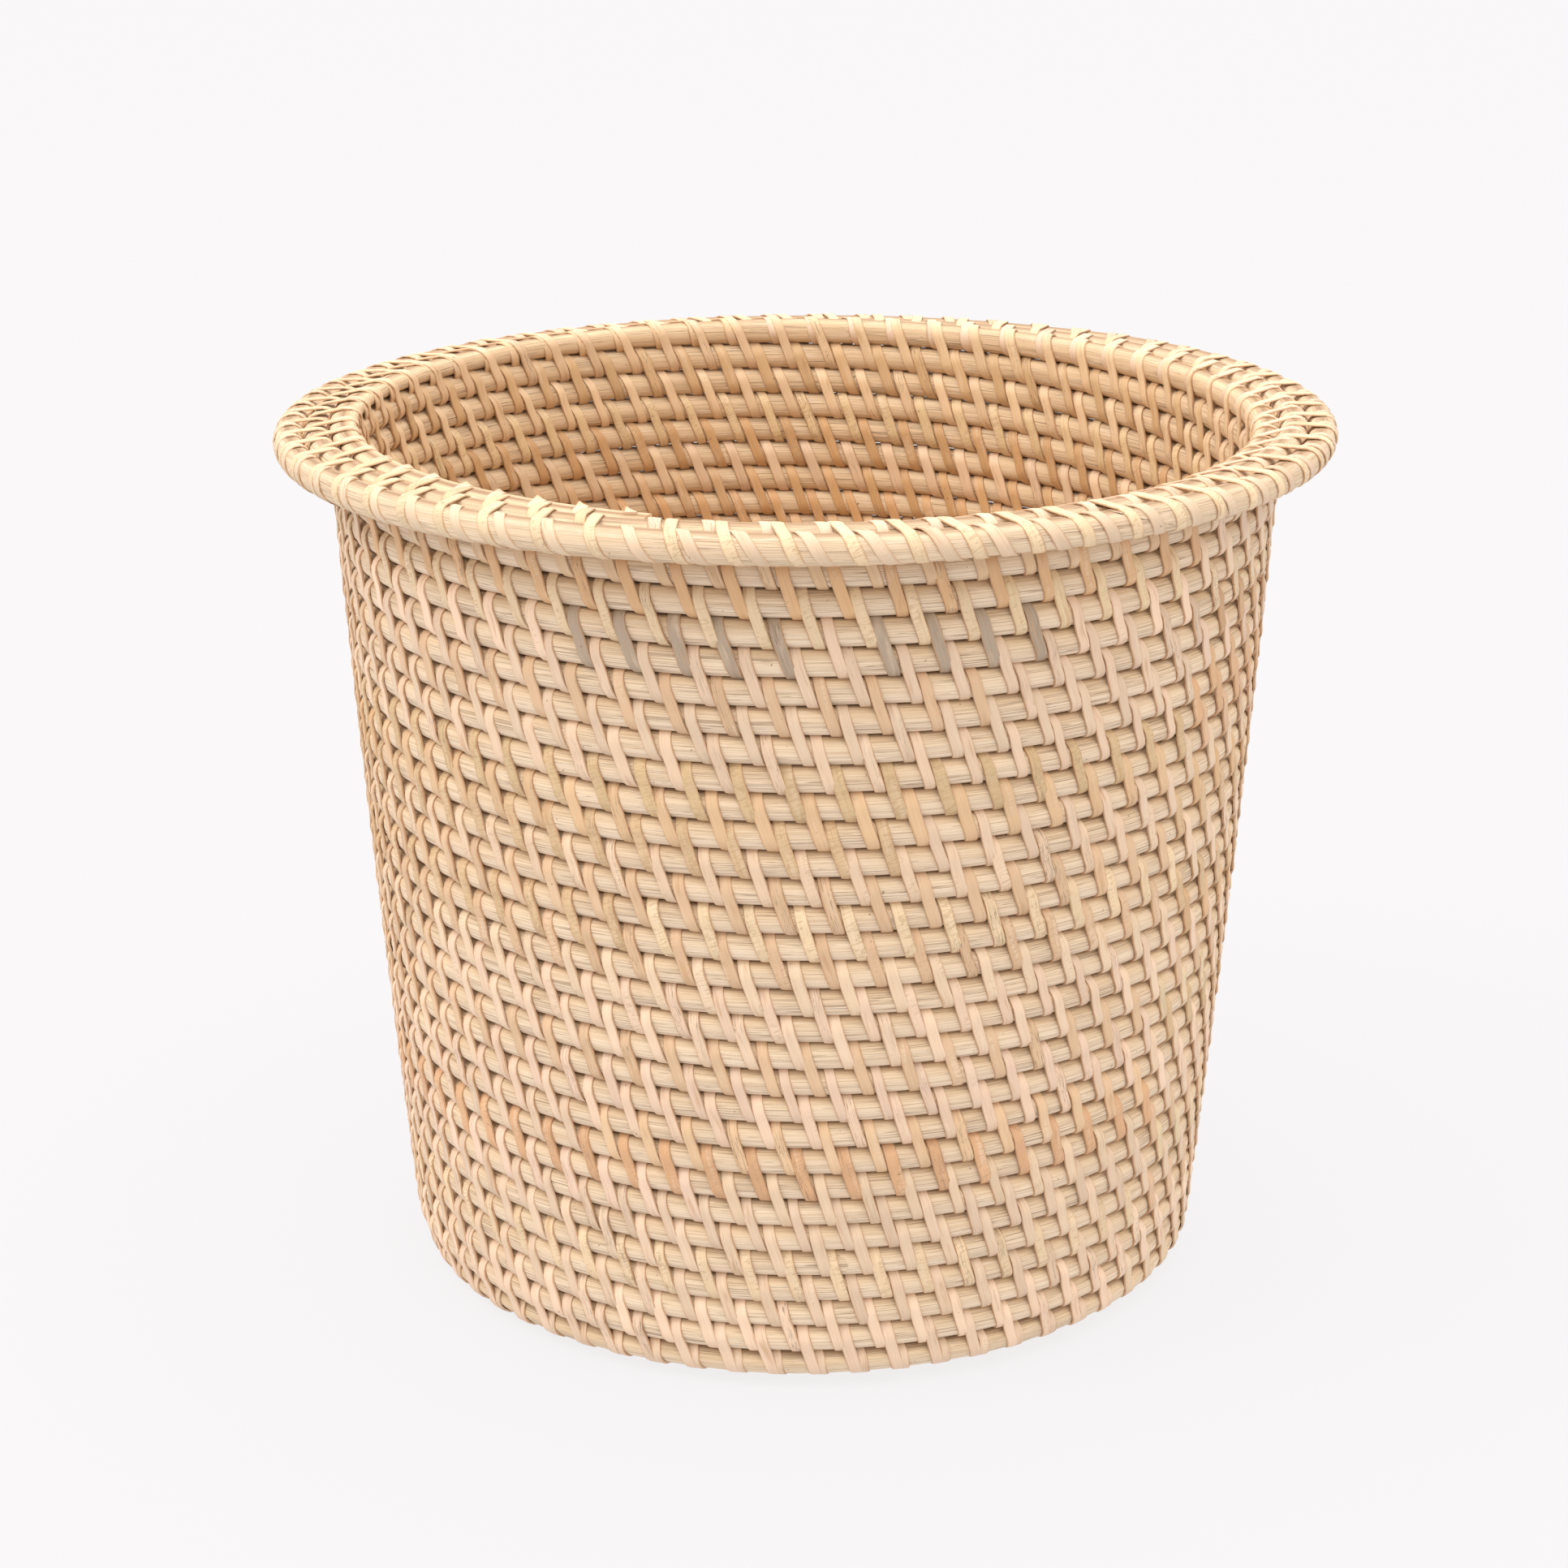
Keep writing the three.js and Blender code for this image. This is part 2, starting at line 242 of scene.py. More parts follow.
def shave(up, out, thick, half_height, depth, side):
    """Cut a cane's sections along a plane, at depths of 0 to 1: side 1 keeps its inside, -1 its outside."""
    plane = np.clip(2 * depth - 1, SCARF_TIP_PLANE, 1)
    chord = (half_height * np.sqrt(1 - plane ** 2) ** CANE_SQUARENESS)[:, None]
    edge = (plane * thick)[:, None]
    is_cut = side * out > edge
    return np.where(is_cut, np.clip(up, -chord, chord), up), np.where(is_cut, side * edge, out)


def cane_points(axis, start, end, radius, share_at, scarfs, seed):
    """A round cane's surface, shaved at its scarfed ends to share them with the next cane."""
    rng = np.random.default_rng(seed)
    middle_radius = axis(np.array([(start + end) / 2]))[0][0]
    overlaps = [SCARF_LENGTH / 2 / (2 * math.pi * middle_radius) if cut else 0 for cut in scarfs]
    start, end = start - overlaps[0], end + overlaps[1]
    steps_per_turn = max(LEAST_STEPS_PER_TURN, 2 * math.pi * middle_radius / CANE_STEP)
    turn = np.linspace(start, end, int((end - start) * steps_per_turn))
    for joint, overlap in ((start + overlaps[0], overlaps[0]), (end - overlaps[1], overlaps[1])):
        if overlap:
            turn = np.append(turn, np.linspace(joint - overlap, joint + overlap, SCARF_STEPS)[1:-1])
    turn = np.sort(turn)
    axis_radius, axis_height, lean = axis(turn)
    steps = np.diff(turn) * 2 * math.pi * np.maximum(axis_radius[1:], NEAREST)
    length = np.concatenate([[0], np.cumsum(steps)])
    thick = radius * (1 + THICKNESS_SWAY * wander(length[-1], THICKNESS_SPACING, rng)(length))
    sway_out = AXIS_SWAY_OUT * wander(length[-1], AXIS_SWAY_SPACING, rng)(length)
    sway_up = AXIS_SWAY_UP * wander(length[-1], AXIS_SWAY_SPACING, rng)(length)

    theta = np.linspace(0, 2 * math.pi, CANE_SIDES, endpoint=False)
    cos, sin = np.cos(theta), np.sin(theta)
    half_height = thick * share_at(turn)
    up = np.outer(half_height, np.sign(cos) * np.abs(cos) ** CANE_SQUARENESS)
    out = np.outer(thick, sin)
    if scarfs[0]:
        up, out = shave(up, out, thick, half_height, (turn - start) / (2 * overlaps[0]), 1)
    if scarfs[1]:
        up, out = shave(up, out, thick, half_height, (end - turn) / (2 * overlaps[1]), -1)
    up += sway_up[:, None]
    out += sway_out[:, None]
    cos, sin = np.cos(lean)[:, None], np.sin(lean)[:, None]
    radial = np.maximum(axis_radius[:, None] + up * cos + out * sin, NEAREST)
    height = axis_height[:, None] + up * sin - out * cos
    return in_frame(turn[:, None], radial, height), length


def full_height(turn):
    return np.ones_like(turn)


def near(theta, places, reach):
    """1 at the places round a cane, falling smoothly to 0 at reach radians from them."""
    turned = (np.subtract.outer(theta, places) + math.pi) % (2 * math.pi) - math.pi
    away = np.min(np.abs(turned), axis=1)
    share = np.clip(1 - away / reach, 0, 1)
    return share * share * (3 - 2 * share)


def cane_tones(rows, grooves, is_ring):
    """Painted light and shade: floor light on the lower outside, interreflection inside, shade where canes
    meet.
    """
    theta = np.linspace(0, 2 * math.pi, CANE_SIDES, endpoint=False)
    # Painted floor light on a wall cane's lower outside; a ring is made evenly paler instead.
    floor_light_and_ring_pale = np.full_like(theta, RING_WEAR) if is_ring else near(theta, [FLOOR_LIGHT_PLACE], FLOOR_LIGHT_REACH)
    # Painted warm interreflection on a wall cane's inside; none on a ring.
    inside_interreflection = np.zeros_like(theta) if is_ring else near(theta, [INTERREFLECTION_PLACE], INTERREFLECTION_REACH)
    # Painted shade along the lines where the cane meets its neighbours.
    column = np.stack([floor_light_and_ring_pale, inside_interreflection, near(theta, grooves, GROOVE_SHADE_REACH), np.ones_like(theta)], axis=1)
    return np.tile(column.astype(np.float32), (rows, 1))


def add_cane(node, axis, start, end, radius=CANE, share_at=full_height, scarfs=(True, True), seed=0,
             grooves=(0, math.pi), is_ring=False):
    points, length = cane_points(axis, start, end, radius, share_at, scarfs, seed)
    across = np.linspace(0, 1, CANE_SIDES + 1)
    tones = cane_tones(len(points), grooves, is_ring)
    along = length + CANE_TEXTURE_SHIFT * seed
    mesh = swept_mesh(node.replace("core", "cane"), points, along, across, tones)
    return add_piece(mesh.name, mesh, cane_material, node)


# ---------------------------------------------------------------- strips

# The strip's section: across, from -1 to 1, and up from the cane, from 0 to 1. Its outside is crowned.
SECTION = np.array([(-0.95, 0.0), (-1.0, 0.42), (-0.92, 0.84), (-0.45, 1.0),
                    (0.45, 1.0), (0.92, 0.84), (1.0, 0.42), (0.95, 0.0)])
SECTION_ACROSS = np.array([0.03, 0.0, 0.04, 0.28, 0.72, 0.96, 1.0, 0.97, 0.03])

# One loop round two canes starts in the groove above the newer one, goes down the outside, and comes up
# the inside. Each row: cane (1 newer, 0 older), angle from the outside in quarter turns, and share of the
# stitch gone along.
LOOP = np.array([
    (1, 1.0, 0.00), (1, 0.75, 0.01), (1, 0.5, 0.03), (1, 0.25, 0.058), (1, 0.0, 0.09),
    (0.75, 0.0, 0.135), (0.5, 0.0, 0.185), (0.25, 0.0, 0.235),
    (0, 0.0, 0.288), (0, -0.25, 0.33), (0, -0.5, 0.365), (0, -0.75, 0.39), (0, -1.0, 0.41),
    (0, -1.25, 0.45), (0, -1.5, 0.495), (0, -1.75, 0.54), (0, -2.0, 0.59),
    (0.33, -2.0, 0.665), (0.67, -2.0, 0.745),
    (1, 2.0, 0.82), (1, 1.75, 0.875), (1, 1.5, 0.925), (1, 1.25, 0.965),
])
GROOVE_SAG = 0.0003  # of a strip between two canes
WIDTH_SWAY, WIDTH_SPACING, WIDTH_JITTER = 0.06, 6, 0.03  # in widths and in loops
INSIDE_SLACK = 0.3  # of the outside's
STRIP_TEXTURE_SHIFT, STRIP_TEXTURES = 1.3, 97  # along the texture from one strip to the next, and how often


def strip_points(place_at, older_axis, newer_axis, first, last, shape, rng):
    """The surface of one strip that makes the loops numbered first to last.
    place_at gives the turn of a loop number, and the axes give both canes there."""
    count = last - first
    loop = np.repeat(np.arange(count), len(LOOP)).astype(float)
    cane, quarter, gone = (np.tile(column, count) for column in (*LOOP.T[:2], shape["lean"]))
    cane, quarter, gone = np.append(cane, 1), np.append(quarter, 1), np.append(gone, 0)
    loop = np.append(loop, count)

    knots = np.arange(count + 2)
    jitter = rng.normal(0, shape["jitter"], count + 2)
    sway = WIDTH_SWAY * wander(count + 2, WIDTH_SPACING, rng)(knots)
    width = STRIP_WIDTH * shape["width"] * (1 + sway + WIDTH_JITTER * rng.normal(size=count + 2))
    loose = shape["loose"] * np.abs(rng.normal(0, 1, count + 2))
    number = loop + gone
    turn = place_at(first + number + np.interp(number, knots, jitter))

    older_radius, older_height, _ = older_axis(turn)
    newer_radius, newer_height, _ = newer_axis(turn)
    span = np.stack([newer_radius - older_radius, newer_height - older_height], axis=-1)
    distance = np.linalg.norm(span, axis=-1)
    span = unit(span)
    out = np.stack([span[:, 1], -span[:, 0]], axis=-1)
    angle = quarter * math.pi / 2
    cos, sin = np.cos(angle), np.sin(angle)
    reach_new, reach_old = shape["newer_reach"], shape["older_reach"]
    end_share = shape["newer_share"](turn)
    reach_out = reach_old + (reach_new - reach_old) * cane + STRIP_LIFT
    slack = np.interp(number, knots, loose) * np.where(cos > 0, 1, INSIDE_SLACK)
    between = np.sin(math.pi * cane)
    sag = GROOVE_SAG * between * np.abs(cos) * shape["sag"]
    rise = STRIP_RISE * shape["rise"] * np.clip(1 - cane, 0, 1) * np.clip(cos, 0, 1)
    flat = reach_out + slack - sag + rise
    upward = np.where(cane == 1, end_share, 1)
    across_span = distance * cane + sin * reach_out * upward
    centre = np.stack([older_radius, older_height], axis=-1) + span * across_span[:, None]
    centre = centre + out * (flat * cos)[:, None]
    normal = span * sin[:, None] + out * cos[:, None]

    path = in_frame(turn, centre[:, 0], centre[:, 1])
    normal = in_frame(turn, normal[:, 0], normal[:, 1])
    tangent = unit(np.gradient(path, axis=0))
    side = unit(np.cross(tangent, normal))
    normal = np.cross(side, tangent)
    half = np.interp(number, knots, width) / 2
    thick = np.full_like(half, STRIP_THICKNESS * shape["thickness"])
    points = (path[:, None] + side[:, None] * (half[:, None] * SECTION[:, 0])[..., None]
              + normal[:, None] * (thick[:, None] * SECTION[:, 1])[..., None])
    steps = np.linalg.norm(np.diff(path, axis=0), axis=1)
    return points, np.concatenate([[0], np.cumsum(steps)]), loop, np.clip(-cos, 0, 1)


# Colours of the peel: what share of the strips has each, its colour, and how cracked it is across.
PEEL = [
    (0.24, (0.80, 0.59, 0.43), 0.15),
    (0.20, (0.72, 0.49, 0.30), 0.25),
    (0.14, (0.80, 0.61, 0.39), 0.6),
    (0.20, (0.76, 0.57, 0.40), 0.2),
    (0.13, (0.67, 0.41, 0.22), 0.3),
    (0.07, (0.63, 0.45, 0.26), 0.7),
    (0.006, (0.44, 0.34, 0.25), 0.6),
]
GREY_PEEL = len(PEEL) - 1
GREY_NODE = "wall_binder_27"  # a stretch of greyed peel, below the rim at the front
GREY_LOOPS = (48, 53, 54, 58)  # grey from the first to the second, and from the third to the fourth
INSIDE_INTERREFLECTION_TINT = (1.0, 0.955, 0.83)  # painted warm interreflection: multiplies the peel's colours inside the basket
SHORTEST_STRIP, LONGEST_STRIP, MOST_USED_UP = 20, 70, 40  # in loops; the last is of a piece's first strip
SHADE_SPREAD, HUE_SPREAD, LOOP_SPREAD = 0.035, 0.006, 0.03  # of strips' colours, and of single loops'
CRACK_SPREAD = 0.12
DARKEST = 0.02


def strip_tones(loop, inside, rng, only=None, is_greyed=False):
    """A colour for each row of points: strips follow one another, and each has its own shade of peel."""
    shares = np.array([share for share, _, _ in PEEL])
    count = int(loop[-1]) + 2
    colours = np.zeros((count, 4), dtype=np.float32)
    at = -int(rng.integers(0, MOST_USED_UP))
    while at < count:
        length = int(rng.integers(SHORTEST_STRIP, LONGEST_STRIP))
        kind = rng.choice(len(PEEL), p=shares / shares.sum()) if only is None else only
        _, peel, cracked = PEEL[kind]
        shade = np.array(peel) * (1 + rng.normal(0, SHADE_SPREAD)) + rng.normal(0, HUE_SPREAD, 3)
        here = slice(max(at, 0), max(at + length, 0))
        colours[here, :3] = shade
        colours[here, 3] = np.clip(cracked + rng.normal(0, CRACK_SPREAD), 0, 1)
        at += length
    colours[:, :3] *= (1 + rng.normal(0, LOOP_SPREAD, count))[:, None]
    if is_greyed:
        for first, last in (GREY_LOOPS[:2], GREY_LOOPS[2:]):
            colours[first:last, :3] = PEEL[GREY_PEEL][1]
    colours = np.clip(colours, DARKEST, 1)[loop.astype(int)]
    # Painted warm interreflection: the peel is made warmer and a little darker inside the basket.
    colours[:, :3] *= 1 - (1 - np.array(INSIDE_INTERREFLECTION_TINT)) * inside[:, None]
    return colours


# How far round the rim each row of LOOP is, as a share of a stitch, for the rim's three kinds of loop.
INNER_LEAN = (0, 0.02, 0.045, 0.07, 0.10, 0.135, 0.17, 0.205, 0.24, 0.275, 0.31, 0.34, 0.37,
              0.42, 0.47, 0.52, 0.57, 0.65, 0.73, 0.81, 0.87, 0.92, 0.965)
OUTER_LEAN = (0, 0.01, 0.02, 0.04, 0.06, 0.09, 0.12, 0.15, 0.18, 0.215, 0.255, 0.30, 0.345,
              0.39, 0.44, 0.49, 0.55, 0.63, 0.71, 0.79, 0.85, 0.91, 0.96)
EDGE_LEAN = (0, 0.025, 0.055, 0.10, 0.155, 0.155, 0.155, 0.155, 0.155, 0.22, 0.285, 0.35, 0.41,
             0.48, 0.55, 0.63, 0.71, 0.71, 0.71, 0.71, 0.82, 0.91, 0.97)

WALL_SHAPE = {
    "lean": LOOP.T[2], "jitter": 0.03, "width": 1.0, "thickness": 1.0, "loose": 0.00006,
    "newer_reach": CANE, "older_reach": CANE, "newer_share": height_share, "sag": 1.0,
    "rise": 1.0, "inside_interreflection_tint": 1.0,
}


def add_strip(node, place_at, older_axis, newer_axis, first, last, shape, seed, only=None):
    rng = np.random.default_rng(seed)
    points, length, loop, inside = strip_points(place_at, older_axis, newer_axis, first, last, shape, rng)
    tones = strip_tones(loop, inside * shape["inside_interreflection_tint"], rng, only, node == GREY_NODE)
    tones = np.repeat(tones, len(SECTION), axis=0)
    along = length + STRIP_TEXTURE_SHIFT * (seed % STRIP_TEXTURES)
    mesh = swept_mesh(node.replace("binder", "strip"), points, along, SECTION_ACROSS, tones)
    return add_piece(mesh.name, mesh, strip_material, node)


# ---------------------------------------------------------------- stitch numbers along the coil

BASE_SPACING = 2 * math.pi * FOOT_RADIUS / STITCHES_PER_TURN
FIRST_STRIP_TURN = 1.35  # where there is first a turn inside to bind to
TABLE_STEPS = 20000
LEAST_RADIUS = 0.001
TURN_TABLE = np.linspace(0, COIL_END + 1, TABLE_STEPS)
TURN_LENGTH = 2 * math.pi * np.maximum(coil_axis(TURN_TABLE[1:])[0], LEAST_RADIUS)
STITCH_DENSITY = np.minimum(TURN_LENGTH / BASE_SPACING, STITCHES_PER_TURN)
NUMBER_TABLE = np.concatenate([[0], np.cumsum(np.diff(TURN_TABLE) * STITCH_DENSITY)])


def coil_place(number):
    return np.interp(number, NUMBER_TABLE, TURN_TABLE)


def coil_number(turn):
    return int(round(float(np.interp(turn, TURN_TABLE, NUMBER_TABLE))))


def turn_before(turn):
    return coil_axis(turn - 1)


# ---------------------------------------------------------------- materials

NOISE_ROUGHNESS = 0.55
# Linear colours of the reed, of the marks on it, and of the light and shade painted on it.
REED_TAN = (0.75, 0.55, 0.35)
REED_PALE = (0.82, 0.63, 0.42)
REED_SHADE = (0.68, 0.47, 0.26)
# Painted floor light on the wall canes' lower outsides, and the rings' even paleness.
REED_FLOOR_LIGHT_AND_RING_PALE = (0.90, 0.76, 0.61)
# Painted warm interreflection on the insides of the wall canes.
REED_INSIDE_INTERREFLECTION = (0.83, 0.61, 0.385)
REED_DUST = (0.90, 0.76, 0.60)
REED_FIBRE = (0.56, 0.36, 0.19)
REED_LINE = (0.30, 0.19, 0.12)
REED_PORE = (0.30, 0.20, 0.13)
REED_SPECK = (0.24, 0.16, 0.09)
# Painted shade in the grooves where the canes meet.
REED_GROOVE_SHADE = (0.30, 0.165, 0.08)
# And of the marks on the peel. The streaks darken what they cross.
PEEL_STREAK = (0.80, 0.72, 0.62)
PEEL_PALE_PATCH = (0.86, 0.68, 0.50)
PEEL_BROWN_PATCH = (0.56, 0.32, 0.16)
PEEL_STAIN = (0.55, 0.27, 0.11)
PEEL_EDGE = (0.50, 0.32, 0.19)
PEEL_SPLIT = (0.24, 0.15, 0.09)
PEEL_CRACK = (0.46, 0.28, 0.14)
PEEL_SPOT = (0.24, 0.14, 0.08)


class Nodes:
    """A short way to build a material's node tree."""

    def __init__(self, name):
        self.material = bpy.data.materials.new(name)
        self.material.use_nodes = True
        self.tree = self.material.node_tree
        self.shader = self.tree.nodes["Principled BSDF"]

    def add(self, kind, inputs=None, **settings):
        node = self.tree.nodes.new(kind)
        for key, value in settings.items():
            setattr(node, key, value)
        for key, value in (inputs or {}).items():
            self.link(value, node.inputs[key])
        return node

    def link(self, value, socket):
        if isinstance(value, bpy.types.NodeSocket):
            self.tree.links.new(value, socket)
        else:
            socket.default_value = value

    def math(self, operation, a, b=0.0):
        return self.add("ShaderNodeMath", {0: a, 1: b}, operation=operation).outputs[0]

    def stretched(self, along, across, along_scale, across_scale, seed, detail=2.0):
        """Noise with its own scale along a piece and across it."""
        along = self.math("MULTIPLY", along, along_scale)
        across = self.math("MULTIPLY", across, across_scale)
        vector = self.add("ShaderNodeCombineXYZ", {0: along, 1: across, 2: seed}).outputs[0]
        inputs = {"Vector": vector, "Scale": 1.0, "Detail": detail, "Roughness": NOISE_ROUGHNESS}
        return self.add("ShaderNodeTexNoise", inputs).outputs[0]

    def thin_line(self, value, outside, inside):
        """1 where value is close to its middle, which noise crosses along thin lines."""
        return self.ramp(self.math("ABSOLUTE", self.math("SUBTRACT", value, 0.5)), outside, inside)

    def ramp(self, value, low, high):
        """0 at low and 1 at high, smoothly."""
        inputs = {"Value": value, "From Min": low, "From Max": high}
        return self.add("ShaderNodeMapRange", inputs, interpolation_type="SMOOTHSTEP").outputs[0]

    def mix(self, share, a, b, blend="MIX"):
        node = self.add("ShaderNodeMix", data_type="RGBA", blend_type=blend)
        for key, value in ((0, share), (6, a), (7, b)):
            self.link(value, node.inputs[key])
        return node.outputs[2]

    def uv(self):
        place = self.add("ShaderNodeUVMap", uv_map="UVMap").outputs[0]
        separate = self.add("ShaderNodeSeparateXYZ", {0: place})
        return separate.outputs[0], separate.outputs[1]

    def tone(self):
        """The colour and the alpha of the mesh's own tones."""
        node = self.add("ShaderNodeAttribute", attribute_name="tone", attribute_type="GEOMETRY")
        return node.outputs["Color"], node.outputs["Alpha"]

    def over(self, base, share, strength, tint):
        """A base colour with another laid over it."""
        return self.mix(self.math("MULTIPLY", share, strength), base, colour(*tint))


def colour(r, g, b):
    return (r, g, b, 1.0)


def make_cane_material():
    """Pale reed: fine long fibres, thin dark lines between them, short pores, slow changes of tone, and
    painted light and shade.
    """
    n = Nodes("rattan_reed")
    along, around = n.uv()
    fibre = n.stretched(along, around, 24, 95, 0.0, 3.0)
    line = n.stretched(along, around, 13, 48, 7.0, 2.0)
    line_place = n.stretched(along, around, 16, 9, 11.0)
    pore = n.stretched(along, around, 130, 90, 13.0, 1.0)
    dust = n.stretched(along, around, 120, 9, 17.0, 3.0)
    tone = n.stretched(along, around, 7, 1.5, 21.0)
    shade = n.stretched(along, around, 3.1, 0.8, 33.0, 1.0)
    speck = n.stretched(along, around, 700, 18, 41.0, 1.0)

    base = n.mix(n.ramp(tone, 0.35, 0.68), colour(*REED_TAN), colour(*REED_PALE))
    base = n.over(base, n.ramp(shade, 0.55, 0.75), 0.5, REED_SHADE)
    floor_light_and_ring_pale, inside_interreflection, groove_shade = list(n.add("ShaderNodeSeparateColor", {0: n.tone()[0]}).outputs)[:3]
    # Painted floor light: the wall canes paler on their lower outsides, the rings evenly paler.
    base = n.over(base, floor_light_and_ring_pale, 0.75, REED_FLOOR_LIGHT_AND_RING_PALE)
    # Painted warm interreflection on the inside of the wall canes.
    base = n.over(base, inside_interreflection, 0.6, REED_INSIDE_INTERREFLECTION)
    base = n.over(base, n.ramp(dust, 0.50, 0.72), 0.4, REED_DUST)
    base = n.over(base, n.ramp(fibre, 0.58, 0.36), 0.5, REED_FIBRE)
    dark_line = n.math("MULTIPLY", n.thin_line(line, 0.024, 0.005), n.ramp(line_place, 0.36, 0.60))
    base = n.over(base, dark_line, 0.75, REED_LINE)
    dark_pore = n.ramp(pore, 0.67, 0.76)
    base = n.over(base, dark_pore, 0.6, REED_PORE)
    base = n.over(base, n.ramp(speck, 0.75, 0.80), 0.7, REED_SPECK)
    # Painted shade in the grooves where the canes meet.
    base = n.over(base, groove_shade, 0.85, REED_GROOVE_SHADE)
    n.link(base, n.shader.inputs["Base Color"])
    n.link(n.math("ADD", 0.6, n.math("MULTIPLY", fibre, 0.25)), n.shader.inputs["Roughness"])
    n.shader.inputs["Specular IOR Level"].default_value = 0.3

    height = n.math("SUBTRACT", fibre, n.math("MULTIPLY", dark_line, 0.7))
    height = n.math("SUBTRACT", height, n.math("MULTIPLY", dark_pore, 0.5))
    bump = n.add("ShaderNodeBump", {"Height": height, "Strength": 0.6, "Distance": 0.0002})
    n.link(bump.outputs[0], n.shader.inputs["Normal"])
    return n.material


def make_strip_material():
    """Smooth peel: each strip's own shade, fine lengthwise streaks, splits, stains and cracks across."""
    n = Nodes("rattan_peel")
    along, across = n.uv()
    tone, cracked = n.tone()
    from_middle = n.math("ABSOLUTE", n.math("SUBTRACT", n.math("MULTIPLY", across, 2.0), 1.0))
    from_edge = n.math("SUBTRACT", 1.0, from_middle)

    streak = n.stretched(along, across, 60, 13, 3.0, 3.0)
    patch = n.stretched(along, across, 60, 1.2, 9.0)
    slow = n.stretched(along, across, 9, 0.0, 17.0)
    split = n.stretched(along, across, 70, 6, 23.0)
    cross = n.stretched(along, across, 750, 0.5, 31.0, 1.0)
    dash = n.stretched(along, across, 2400, 1.6, 37.0, 1.0)
    spot = n.stretched(along, across, 420, 1.4, 47.0, 1.0)

    darker = n.mix(1.0, tone, colour(*PEEL_STREAK), "MULTIPLY")
    base = n.mix(n.math("MULTIPLY", n.ramp(streak, 0.42, 0.66), 0.4), tone, darker)
    base = n.over(base, n.ramp(patch, 0.52, 0.75), 0.4, PEEL_PALE_PATCH)
    base = n.over(base, n.ramp(patch, 0.40, 0.26), 0.55, PEEL_BROWN_PATCH)
    stain = n.math("MULTIPLY", n.ramp(from_edge, 0.30, 0.0), n.ramp(slow, 0.38, 0.60))
    base = n.over(base, stain, 0.8, PEEL_STAIN)
    base = n.over(base, n.ramp(from_edge, 0.20, 0.05), 0.45, PEEL_EDGE)
    split_line = n.math("MULTIPLY", n.thin_line(split, 0.020, 0.004), n.ramp(slow, 0.50, 0.62))
    base = n.over(base, split_line, 0.75, PEEL_SPLIT)
    is_cracked = n.ramp(n.math("ADD", patch, n.math("MULTIPLY", cracked, 0.5)), 0.66, 0.86)
    very_cracked = n.ramp(cracked, 0.55, 0.85)
    crack_line = n.math("MULTIPLY", n.thin_line(cross, 0.045, 0.012), is_cracked)
    crack_dash = n.math("MULTIPLY", n.ramp(dash, 0.63, 0.73), very_cracked)
    crack_line = n.math("MAXIMUM", crack_line, crack_dash)
    base = n.over(base, crack_line, 0.42, PEEL_CRACK)
    base = n.over(base, n.ramp(spot, 0.77, 0.82), 0.75, PEEL_SPOT)
    n.link(base, n.shader.inputs["Base Color"])
    n.link(n.math("ADD", 0.38, n.math("MULTIPLY", streak, 0.25)), n.shader.inputs["Roughness"])
    n.shader.inputs["Specular IOR Level"].default_value = 0.4

    height = n.math("SUBTRACT", n.math("MULTIPLY", streak, 0.35), n.math("MULTIPLY", crack_line, 0.4))
    height = n.math("SUBTRACT", height, split_line)
    bump = n.add("ShaderNodeBump", {"Height": height, "Strength": 0.5, "Distance": 0.00015})
    n.link(bump.outputs[0], n.shader.inputs["Normal"])
    return n.material


cane_material = make_cane_material()
strip_material = make_strip_material()

# ---------------------------------------------------------------- the basket


def build_canes():
    coil = {"axis": coil_axis, "share_at": height_share}
    inner = {"start": CURL_START, "end": BASE_CANE_JOINT, "scarfs": (False, True)}
    add_cane("base_core_inner", seed=1, **inner, **coil)
    add_cane("base_core_outer", start=BASE_CANE_JOINT, end=WALL_START, seed=2, **coil)
    turns = (COIL_END - WALL_START) / WALL_CANES
    for i in range(WALL_CANES):
        start = WALL_START + i * turns
        scarfs = (True, i < WALL_CANES - 1)
        add_cane(f"wall_core_{i + 1}", start=start, end=start + turns, scarfs=scarfs, seed=3 + i, **coil)
    ring = {"start": COIL_END - 1 + RIM_START, "end": COIL_END + RIM_START, "is_ring": True}
    add_cane("rim_core_middle", middle_axis, seed=20, grooves=(OUTWARD, INWARD), **ring)
    add_cane("rim_core_outer", outer_axis, radius=OUTER_CANE, seed=21, grooves=(INWARD,), **ring)


def build_coil_strips():
    coil = {"place_at": coil_place, "older_axis": turn_before, "newer_axis": coil_axis, "shape": WALL_SHAPE}
    for i in range(BASE_STRIPS):
        turns = (WALL_START * math.sqrt(count / BASE_STRIPS) for count in (i, i + 1))
        first, last = (coil_number(max(FIRST_STRIP_TURN, turn)) for turn in turns)
        add_strip(f"base_binder_{i + 1}", first=first, last=last, seed=100 + i, **coil)
    for i in range(WALL_STRIPS):
        first = coil_number(WALL_START + i)
        last = coil_number(min(WALL_START + i + 1, COIL_END))
        add_strip(f"wall_binder_{i + 1:02d}", first=first, last=last, seed=200 + i, **coil)


EDGE_AXIS_INSET = 0.0002
INNER_LOOPS, OUTER_LOOPS, EDGE_LOOPS = 0.1, 0.6, -0.12  # where each one's first loop starts, in stitches
OUTER_PEEL, EDGE_PEEL = 2, 3  # kinds of peel


def rim_place(offset):
    return lambda number: COIL_END - 1 + (number + offset) / STITCHES_PER_TURN


def edge_axis(turn):
    """Just inside the outer ring's axis, so that a loop round both is a loop round the ring alone."""
    radius, height, lean = outer_axis(turn)
    return radius - EDGE_AXIS_INSET, height, lean


